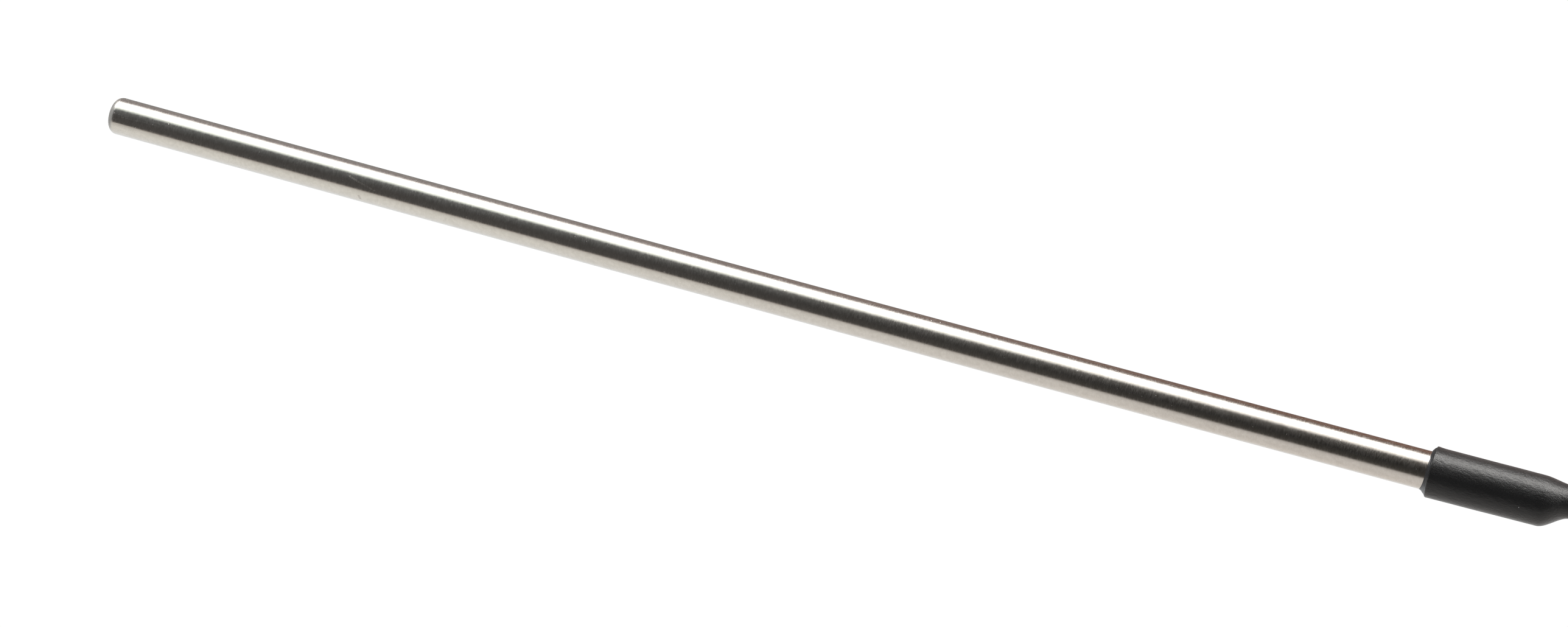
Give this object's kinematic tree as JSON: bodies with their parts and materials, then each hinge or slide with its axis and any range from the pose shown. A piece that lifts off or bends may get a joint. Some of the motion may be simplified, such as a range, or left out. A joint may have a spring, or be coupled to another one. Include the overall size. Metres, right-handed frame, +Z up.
{
  "type": "thermocouple",
  "caption": "Straight steel tube thermocouple with a closed round-cornered tip, a black heat-shrink sleeve over its back end, and a thin black lead with ferruled tails.",
  "frame": {"origin": "middle of the tip's flat end face, on the sheath's axis", "axes": "+X along the sheath from the tip towards the lead; +Z up when the probe lies on a table, with its lead on the same table at z = -3.93 mm"},
  "size_m": [0.3567, 0.0282, 0.0171],
  "materials": {
    "stainless": "finely brushed and polished, bright",
    "iron_wire": "drawn wire, dull",
    "constantan_wire": "drawn wire, slightly yellow",
    "cement": "fired cement, matt",
    "ceramic": "fired alumina, matt",
    "tinned_copper": "tin plated, satin",
    "clear_sleeving": "varnished sleeving, matt",
    "potting_resin": "cast resin, dull",
    "hot_melt": "set hot-melt adhesive, satin",
    "shrink_black": "shrunk polyolefin, satin with a fine wrinkled grain",
    "lead_black": "extruded, fine matt grain",
    "tie_black": "moulded nylon, satin",
    "core_black": "extruded insulation, satin",
    "core_white": "extruded insulation, satin"
  },
  "bodies": {
    "root": {"sheath_tube": "stainless", "tip_cement": "cement", "hot_junction": "iron_wire", "thermoelement_positive": "iron_wire", "thermoelement_negative": "constantan_wire", "ceramic_insulator_1": "ceramic", "ceramic_insulator_2": "ceramic", "ceramic_insulator_3": "ceramic", "ceramic_insulator_4": "ceramic", "ceramic_insulator_5": "ceramic", "ceramic_insulator_6": "ceramic", "ceramic_insulator_7": "ceramic", "ceramic_insulator_8": "ceramic", "splice_barrel_positive": "tinned_copper", "splice_barrel_negative": "tinned_copper", "splice_sleeve_positive": "clear_sleeving", "splice_sleeve_negative": "clear_sleeving", "conductor_positive": "iron_wire", "conductor_negative": "constantan_wire", "core_positive": "core_black", "core_negative": "core_white", "tube_end_seal": "potting_resin", "adhesive_liner": "hot_melt", "heat_shrink_sleeve": "shrink_black", "lead_entry": "lead_black", "lead_run": "lead_black", "lead_hank": "lead_black", "lead_tail": "lead_black", "hank_tie": "tie_black", "tail_core_positive": "core_black", "tail_core_negative": "core_white", "ferrule_collar_positive": "core_black", "ferrule_collar_negative": "core_white", "ferrule_positive": "tinned_copper", "ferrule_negative": "tinned_copper"}
  },
  "joints": []
}
